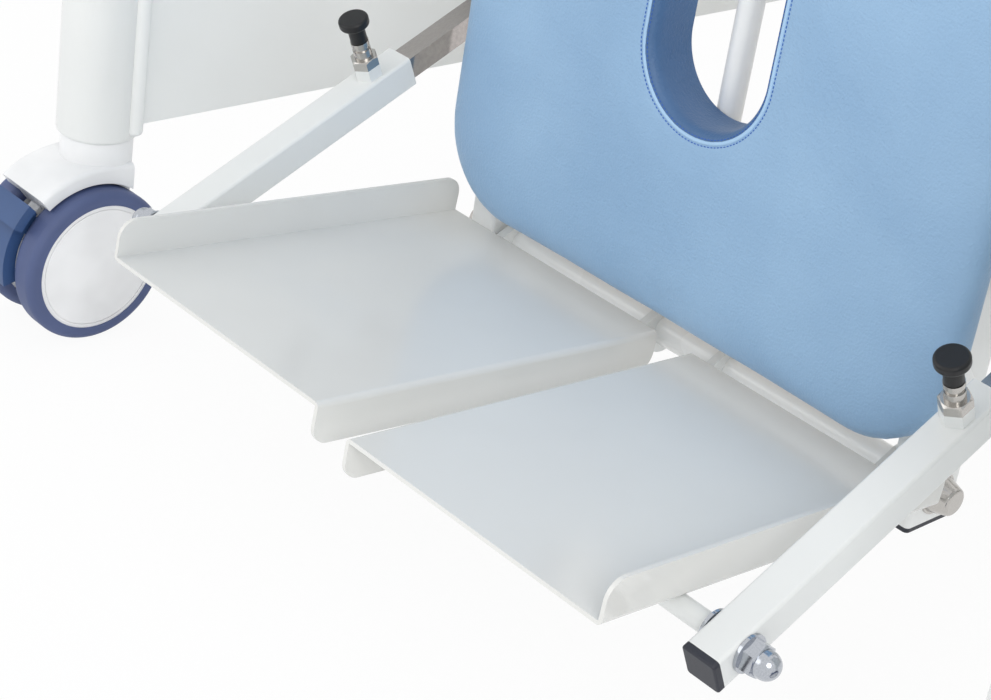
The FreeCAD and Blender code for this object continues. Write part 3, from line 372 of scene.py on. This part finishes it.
def moulded_plastic(name, base, rough, grain_mm, depth):
    """Injection moulded plastic or rubber: an eroded mould texture."""
    material, tree, shader = new_finish(name)
    place = own_place(tree)
    grit = noise(tree, place, size_mm=grain_mm, detail=3.0)
    cloud = noise(tree, place, size_mm=60.0, detail=2.0)
    tint(tree, shader, cloud, shade(base, 0.94), shade(base, 1.05))
    roughen(tree, shader, grit, least=0.85 * rough, most=1.2 * rough)
    emboss(tree, shader, grit, "Fac", strength=depth, height_mm=0.1)
    set_shader(shader, ior=1.5)
    return material


def plywood(name, base):
    """Birch plywood: long grain along the board's length."""
    material, tree, shader = new_finish(name)
    grain = noise(tree, drawn_place(tree, (1.0, 1.0, 0.06)), size_mm=6.0, detail=5.0, distortion=0.6)
    tint(tree, shader, grain, shade(base, 0.80), shade(base, 1.08))
    emboss(tree, shader, grain, "Fac", strength=0.15, height_mm=0.2)
    set_shader(shader, roughness=0.6, ior=1.5)
    return material


class TILT_OT_finish_frame(bpy.types.Operator):
    """Give every rigid piece of the table its own finish."""

    bl_idname = "tilt.finish_frame"
    bl_label = "Finish the frame"

    def execute(self, context):
        look = context.scene.tilt_finishes
        finishes = {
            "white_coat": powder_coat("white_powder_coat", look.coat[:], peel_mm=1.6, rough=0.24),
            "white_board": powder_coat("white_laminate", look.laminate[:], peel_mm=2.4, rough=0.34),
            "chrome": bare_metal("hard_chrome", look.chrome[:], rough=0.07, line_mm=0.8,
                                 stretch=(1.0, 0.2, 0.2), depth=0.02),
            "zinc": bare_metal("bright_zinc", look.zinc[:], rough=0.14, line_mm=0.9,
                               stretch=(1.0, 1.0, 1.0), depth=0.06),
            "stainless": bare_metal("turned_stainless", look.stainless[:], rough=0.20, line_mm=0.5,
                                    stretch=(4.0, 1.0, 1.0), depth=0.10),
            "steel": bare_metal("ground_steel", look.steel[:], rough=0.30, line_mm=0.6,
                                stretch=(4.0, 1.0, 1.0), depth=0.10),
            "black_plastic": moulded_plastic("black_nylon", look.knob[:], rough=0.38,
                                             grain_mm=0.9, depth=0.25),
            "dark_cap": moulded_plastic("end_cap_polyethylene", look.cap[:], rough=0.48,
                                        grain_mm=0.8, depth=0.25),
            "white_plastic": moulded_plastic("castor_nylon", look.castor[:], rough=0.30,
                                             grain_mm=1.2, depth=0.10),
            "navy_rubber": moulded_plastic("tyre_rubber", look.tyre[:], rough=0.55,
                                           grain_mm=0.7, depth=0.30),
            "navy_plastic": moulded_plastic("pedal_nylon", look.pedal[:], rough=0.42,
                                            grain_mm=0.9, depth=0.20),
            "cast": moulded_plastic("sand_casting", look.casting[:], rough=0.50,
                                    grain_mm=1.8, depth=0.50),
            "board": plywood("birch_plywood", look.plywood[:]),
        }
        cast_shader = finishes["cast"].node_tree.nodes["Principled BSDF"]
        set_shader(cast_shader, metallic=0.8)
        for sub in frame["record"]["subparts"]:
            if sub["material_slot"] in finishes:
                paint(frame["nodes"][sub["node"]], finishes[sub["material_slot"]])
        plate = powder_coat("footplate_powder_coat", look.plate[:], peel_mm=1.6, rough=0.13)
        # A lighter copy of the white powder coat: painted light on the tubes and stringers under the pads
        tube = powder_coat("tube_powder_coat_painted_light", look.tube[:], peel_mm=1.6, rough=0.22)
        # A darker copy of the castor nylon: painted shade on the hoods
        hood_painted_shade = moulded_plastic("hood_nylon_painted_shade", look.hood_painted_shade[:], rough=0.34, grain_mm=1.2, depth=0.10)
        for name, node in frame["nodes"].items():
            if name.startswith("footplate"):
                paint(node, plate)
            if name.startswith("castor_hood"):
                paint(node, hood_painted_shade)
            if name in ("centre_tube", "pivot_tube", "stringer_left", "stringer_right"):
                paint(node, tube)
        return {"FINISHED"}


# Upholstery


def slot_loop(grow, pitch):
    """Points and directions round the slot, grown by a margin, a pitch apart."""
    r = SLOT_HALF + grow
    low = SLOT_LOW + SLOT_HALF
    high = SLOT_HIGH - SLOT_HALF
    straight = high - low
    total = 2 * straight + 2 * math.pi * r
    count = int(round(total / pitch))
    loop = []
    for i in range(count):
        d = total * i / count
        if d < straight:
            loop.append((Vector((r, 0, low + d)), Vector((0, 0, 1))))
            continue
        d -= straight
        if d < math.pi * r:
            t = d / r
            loop.append((Vector((r * math.cos(t), 0, high + r * math.sin(t))),
                         Vector((-math.sin(t), 0, math.cos(t)))))
            continue
        d -= math.pi * r
        if d < straight:
            loop.append((Vector((-r, 0, high - d)), Vector((0, 0, -1))))
            continue
        t = (d - straight) / r
        loop.append((Vector((-r * math.cos(t), 0, low - r * math.sin(t))),
                     Vector((math.sin(t), 0, -math.cos(t)))))
    return loop


def slot_margin(place):
    """How far a point lies outside the slot's straight wall, and the direction away from the slot."""
    middle = min(max(place.z, SLOT_LOW + SLOT_HALF), SLOT_HIGH - SLOT_HALF)
    away = Vector((place.x, 0.0, place.z - middle))
    return away.length - SLOT_HALF, away.normalized()


def flare_at(depth):
    """How much wider the slot is at a depth behind the pad's face."""
    for (d0, g0), (d1, g1) in zip(SLOT_FLARE, SLOT_FLARE[1:]):
        if depth <= d1:
            return g0 + (g1 - g0) * max(0.0, (depth - d0) / (d1 - d0))
    return 0.0


def even_copy(node, name, step):
    """A copy of a plain pad with an even mesh over it."""
    piece = bpy.data.objects.new(name, frame["nodes"][node].data.copy())
    bpy.context.collection.objects.link(piece)
    only(piece)
    bpy.ops.object.mode_set(mode="EDIT")
    bpy.ops.mesh.select_all(action="SELECT")
    bpy.ops.mesh.remove_doubles(threshold=0.01 * MM)
    bpy.ops.object.mode_set(mode="OBJECT")
    face_outward(piece)
    remesh = piece.modifiers.new("Even mesh", "REMESH")
    remesh.mode = "VOXEL"
    remesh.voxel_size = step
    apply_modifier(piece, remesh)
    return piece


def inflate(piece, most, slotted):
    """Let the cover swell over its foam, flat on its board and held by the seam round the slot."""
    before = [v.co.copy() for v in piece.data.vertices]
    cloth = piece.modifiers.new("Cover", "CLOTH")
    cloth.settings.quality = CLOTH_QUALITY
    cloth.settings.use_pressure = True
    cloth.settings.uniform_pressure_force = CLOTH_PRESSURE
    cloth.settings.effector_weights.gravity = 0.0
    cloth.settings.tension_stiffness = CLOTH_STIFFNESS
    cloth.settings.compression_stiffness = CLOTH_STIFFNESS
    cloth.settings.bending_stiffness = CLOTH_BENDING
    cloth.collision_settings.use_collision = False
    scene = bpy.context.scene
    for step in range(1, CLOTH_FRAMES + 1):
        scene.frame_set(step)
    shaped = piece.evaluated_get(bpy.context.evaluated_depsgraph_get()).data
    after = [v.co.copy() for v in shaped.vertices]
    piece.modifiers.remove(cloth)
    scene.frame_set(1)
    for vertex, old, new in zip(piece.data.vertices, before, after):
        move = new - old
        if move.length > most:
            move *= most / move.length
        free = min(1.0, max(0.0, (BOARD_FACE - old.y) / BOARD_HOLD))
        if slotted:
            free *= min(1.0, max(0.0, slot_margin(old)[0] / SEAM_HOLD))
        vertex.co = old + move * free
    piece.data.update()


def clear_slot(piece):
    """Bring the even mesh clear of the lining that is laid into the slot."""
    for vertex in piece.data.vertices:
        margin, away = slot_margin(vertex.co)
        least = flare_at(vertex.co.y - PAD_FACE) + LINING_CLEAR
        if margin < least:
            vertex.co += away * (least - margin)
    piece.data.update()


def make_pad(node, name, look, material, slotted):
    """One upholstered pad, which takes the place of its plain solid."""
    piece = even_copy(node, name, look.voxel)
    inflate(piece, look.swell, slotted)
    if slotted:
        clear_slot(piece)
    finer = piece.modifiers.new("Finer", "SUBSURF")
    finer.levels = 1
    finer.render_levels = 1
    apply_modifier(piece, finer)
    only(piece)
    bpy.ops.object.shade_smooth()
    paint(piece, material)
    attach(piece, "tilting_top")
    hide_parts(node)
    return piece


class TILT_OT_upholster(bpy.types.Operator):
    """Make the leg pad and the back pad."""

    bl_idname = "tilt.upholster"
    bl_label = "Upholster the pads"

    def execute(self, context):
        look = context.scene.tilt_upholstery
        cover = vinyl("blue_vinyl", look.vinyl[:], look.vinyl_light[:], grain_mm=2.2, depth=1.0)
        make_pad("leg_pad", "leg_pad_cover", look, cover, True)
        make_pad("back_pad", "back_pad_cover", look, cover, False)
        return {"FINISHED"}


def line_slot(name, material):
    """The lining of the slot: a sleeve drawn out ring by ring from the rolled mouth to the rear."""
    deep = (LEG_HIGH[1] - PAD_FACE) / MM
    rings = LINING_FRONT + ((0.5 * deep, LINING_WALL), (deep, LINING_WALL))
    rings += tuple((deep + past, grow) for past, grow in LINING_HEM)
    low = SLOT_LOW + SLOT_HALF
    depth, grow = rings[0]
    bpy.ops.object.select_all(action="DESELECT")
    bpy.ops.mesh.primitive_circle_add(
        vertices=LINING_SIDES, radius=SLOT_HALF + grow * MM, location=(0.0, PAD_FACE + depth * MM, low),
        rotation=(math.radians(90.0), 0.0, 0.0))
    piece = bpy.context.object
    settle(piece, name)
    bpy.ops.object.mode_set(mode="EDIT")
    bpy.ops.mesh.select_all(action="SELECT")
    for next_depth, next_grow in rings[1:]:
        bpy.ops.mesh.extrude_region_move(
            TRANSFORM_OT_translate={"value": (0.0, (next_depth - depth) * MM, 0.0)})
        wider = (SLOT_HALF + next_grow * MM) / (SLOT_HALF + grow * MM)
        bpy.ops.transform.resize(value=(wider, 1.0, wider), center_override=(0.0, PAD_FACE, low))
        depth, grow = next_depth, next_grow
    bpy.ops.mesh.select_all(action="DESELECT")
    bpy.ops.object.mode_set(mode="OBJECT")
    for vertex in piece.data.vertices:
        vertex.select = vertex.co.z > low - 0.01 * MM
    bpy.ops.object.mode_set(mode="EDIT")
    bpy.ops.transform.translate(value=(0.0, 0.0, SLOT_HIGH - SLOT_LOW - 2.0 * SLOT_HALF))
    bpy.ops.object.mode_set(mode="OBJECT")
    shell = piece.modifiers.new("Sheet", "SOLIDIFY")
    shell.thickness = LINING_THICK
    shell.offset = 0.0
    apply_modifier(piece, shell)
    face_outward(piece)
    bpy.ops.object.shade_smooth_by_angle(angle=LINING_SHARP)
    paint(piece, material)
    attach(piece, "tilting_top")
    return piece


def touch(surface, place):
    """Where a ray from in front of the pad meets a surface, and the surface's direction there."""
    hit = surface.ray_cast(Vector((place.x, PAD_FACE - RAY_START, place.z)), Vector((0, 1, 0)))
    return hit[0], hit[1]


def sewn_loop(name, surface, grow, radius, material):
    """A rolled edge that follows the pad's face round the slot."""
    curve = bpy.data.curves.new(name, "CURVE")
    curve.dimensions = "3D"
    curve.bevel_depth = radius
    curve.bevel_resolution = 3
    loop = slot_loop(grow, LOOP_STEP)
    spline = curve.splines.new("POLY")
    spline.points.add(len(loop) - 1)
    spline.use_cyclic_u = True
    for point, (place, _) in zip(spline.points, loop):
        spot = touch(surface, place)[0]
        y = spot.y if spot else PAD_FACE
        point.co = (place.x, y, place.z, 1.0)
    piece = bpy.data.objects.new(name, curve)
    bpy.context.collection.objects.link(piece)
    only(piece)
    bpy.ops.object.convert(target="MESH")
    piece = bpy.context.object
    piece.name = name
    bpy.ops.object.shade_smooth()
    paint(piece, material)
    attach(piece, "tilting_top")
    return piece


def stitch_row(name, surface, grow, look, material):
    """One row of stitches beside the slot, each laid on the cover."""
    bpy.ops.object.select_all(action="DESELECT")
    bpy.ops.mesh.primitive_uv_sphere_add(segments=6, ring_count=5, radius=1.0)
    first = bpy.context.object
    half = look.stitch_length / 2
    thick = look.stitch_thickness / 2
    copies = []
    for place, way in slot_loop(grow, look.stitch_pitch):
        spot, normal = touch(surface, place)
        if not spot:
            continue
        out = normal if normal.y < 0 else -normal
        along = (way - out * way.dot(out)).normalized()
        side = out.cross(along)
        turn = Matrix((side * thick, out * thick, along * half)).transposed()
        one = first.copy()
        one.data = first.data.copy()
        one.data.transform(Matrix.Translation(spot + out * STITCH_RISE * thick) @ turn.to_4x4())
        bpy.context.collection.objects.link(one)
        copies.append(one)
    bpy.data.objects.remove(first)
    bpy.ops.object.select_all(action="DESELECT")
    for one in copies:
        one.select_set(True)
    bpy.context.view_layer.objects.active = copies[0]
    bpy.ops.object.join()
    piece = bpy.context.object
    face_outward(piece)
    bpy.ops.object.shade_smooth()
    piece.name = name
    paint(piece, material)
    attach(piece, "tilting_top")
    return piece


class TILT_OT_sew_slot(bpy.types.Operator):
    """Roll and sew the edge of the slot in the leg pad."""

    bl_idname = "tilt.sew_slot"
    bl_label = "Sew the slot"

    def execute(self, context):
        look = context.scene.tilt_upholstery
        # The lining is the cover's vinyl in a darker tone: painted shade for the shade inside the slot
        lining = vinyl("slot_lining_vinyl_painted_shade", look.slot_wall_painted_shade[:], shade(look.slot_wall_painted_shade, 1.12)[:3],
                       grain_mm=2.2, depth=0.75)
        sleeve = line_slot("slot_lining", lining)
        depsgraph = context.evaluated_depsgraph_get()
        surface = BVHTree.FromObject(bpy.data.objects["leg_pad_cover"], depsgraph)
        inner = BVHTree.FromObject(sleeve, depsgraph)
        # The welt's lighter colour is a painted highlight on the raised seam
        welt_painted_highlight = vinyl("welt_vinyl_painted_highlight", look.welt_painted_highlight[:], shade(look.welt_painted_highlight, 1.08)[:3], grain_mm=1.2, depth=0.25)
        yarn = thread("polyester_thread", look.thread[:])
        sewn_loop("slot_welt", surface, look.seam_at, look.welt_radius, welt_painted_highlight)
        stitch_row("slot_stitches_inner", inner, look.row_inner, look, yarn)
        stitch_row("slot_stitches_outer", surface, look.row_outer, look, yarn)
        return {"FINISHED"}


# Stage


def seen_by(tree, *rays):
    """One for the named kinds of ray and nothing for the others, as a pair of node and output."""
    path = add_node(tree, "ShaderNodeLightPath")
    seen = (path, rays[0])
    for ray in rays[1:]:
        either = add_node(tree, "ShaderNodeMath", links={0: seen, 1: (path, ray)}, operation="MAXIMUM")
        seen = (either, 0)
    return seen


class TILT_OT_stage(bpy.types.Operator):
    """Set the floor, the light and the camera."""

    bl_idname = "tilt.stage"
    bl_label = "Set the stage"

    def execute(self, context):
        look = context.scene.tilt_stage
        scene = context.scene
        scene.view_settings.view_transform = "Standard"
        self.floor(look)
        self.room(look)
        self.lamp("key_lamp", KEY_PLACE, KEY_SIZE, look.key_power)
        self.lamp("fill_lamp", FILL_PLACE, FILL_SIZE, look.fill_power)
        self.camera(look)
        return {"FINISHED"}

    def floor(self, look):
        """A pale floor that mostly glows for the eye, so it stays white and keeps a soft shadow."""
        bpy.ops.object.select_all(action="DESELECT")
        bpy.ops.mesh.primitive_plane_add(size=FLOOR_SIZE, location=(0.0, 0.0, -FLOOR_DROP))
        piece = bpy.context.object
        settle(piece, "studio_floor")
        material, tree, shader = new_finish("pale_floor")
        shader.inputs["Base Color"].default_value = look.floor[:] + (1.0,)
        set_shader(shader, roughness=0.9)
        seen = seen_by(tree, "Is Camera Ray", "Is Glossy Ray")
        share = add_node(tree, "ShaderNodeMath", links={0: seen}, inputs={1: FLOOR_GLOW},
                         operation="MULTIPLY")
        glow = add_node(tree, "ShaderNodeEmission", inputs={"Color": WHITE, "Strength": 1.0})
        mix = add_node(tree, "ShaderNodeMixShader",
                       links={0: (share, 0), 1: (shader, "BSDF"), 2: (glow, "Emission")})
        tree.links.new(mix.outputs[0], tree.nodes["Material Output"].inputs["Surface"])
        paint(piece, material)

    def room(self, look):
        """A white room that gives even light, and looks fully white to the camera and in reflections."""
        world = bpy.data.worlds.new("studio_room")
        bpy.context.scene.world = world
        world.use_nodes = True
        tree = world.node_tree
        back = tree.nodes["Background"]
        back.inputs["Color"].default_value = WHITE
        seen = seen_by(tree, "Is Camera Ray", "Is Transmission Ray", "Is Glossy Ray")
        level = add_node(tree, "ShaderNodeMapRange", links={"Value": seen},
                         inputs={"To Min": look.sky, "To Max": 1.0})
        tree.links.new(level.outputs["Result"], back.inputs["Strength"])

    def lamp(self, name, place, size, power):
        """A round soft lamp that looks at the foot end."""
        data = bpy.data.lights.new(name, "AREA")
        data.shape = "DISK"
        data.size = size
        data.energy = power
        lamp = bpy.data.objects.new(name, data)
        bpy.context.collection.objects.link(lamp)
        lamp.location = place
        lamp.rotation_euler = (Vector(LAMP_AIM) - Vector(place)).to_track_quat("-Z", "Y").to_euler()

    def camera(self, look):
        """The camera, placed as the photograph was taken."""
        data = bpy.data.cameras.new("photo_camera")
        data.sensor_width = SENSOR_WIDTH
        data.lens = look.focal / PHOTO_WIDTH * SENSOR_WIDTH
        camera = bpy.data.objects.new("photo_camera", data)
        bpy.context.collection.objects.link(camera)
        a, e, r = look.azimuth, look.elevation, look.roll
        back = Vector((math.sin(a) * math.cos(e), -math.cos(a) * math.cos(e), math.sin(e)))
        right = Vector((math.cos(a), math.sin(a), 0.0))
        up = back.cross(right)
        turned_right = right * math.cos(r) + up * math.sin(r)
        turned_up = up * math.cos(r) - right * math.sin(r)
        turn = Matrix((turned_right, turned_up, back)).transposed()
        camera.matrix_world = Matrix.Translation(Vector(look.eye)) @ turn.to_4x4()
        bpy.context.scene.camera = camera


class TILT_PT_panel(bpy.types.Panel):
    """Steps of the dressing, in order."""

    bl_idname = "TILT_PT_panel"
    bl_label = "Tilt table"
    bl_space_type = "VIEW_3D"
    bl_region_type = "UI"
    bl_category = "Tilt table"

    def draw(self, context):
        for operator in OPERATORS:
            self.layout.operator(operator.bl_idname)
        for group in ("tilt_upholstery", "tilt_finishes", "tilt_stage"):
            block = getattr(context.scene, group)
            for key in block.__annotations__:
                self.layout.prop(block, key)


GROUPS = {
    "tilt_upholstery": TILT_PG_upholstery,
    "tilt_finishes": TILT_PG_finishes,
    "tilt_stage": TILT_PG_stage,
}
OPERATORS = (TILT_OT_finish_frame, TILT_OT_upholster, TILT_OT_sew_slot, TILT_OT_stage)


def register():
    for name, group in GROUPS.items():
        bpy.utils.register_class(group)
        setattr(bpy.types.Scene, name, bpy.props.PointerProperty(type=group))
    for item in OPERATORS + (TILT_PT_panel,):
        bpy.utils.register_class(item)


def unregister():
    for item in reversed(OPERATORS + (TILT_PT_panel,)):
        bpy.utils.unregister_class(item)
    for name, group in GROUPS.items():
        delattr(bpy.types.Scene, name)
        bpy.utils.unregister_class(group)


def main():
    register()
    bpy.ops.tilt.finish_frame()
    bpy.ops.tilt.upholster()
    bpy.ops.tilt.sew_slot()
    bpy.ops.tilt.stage()


if __name__ == "__main__":
    main()
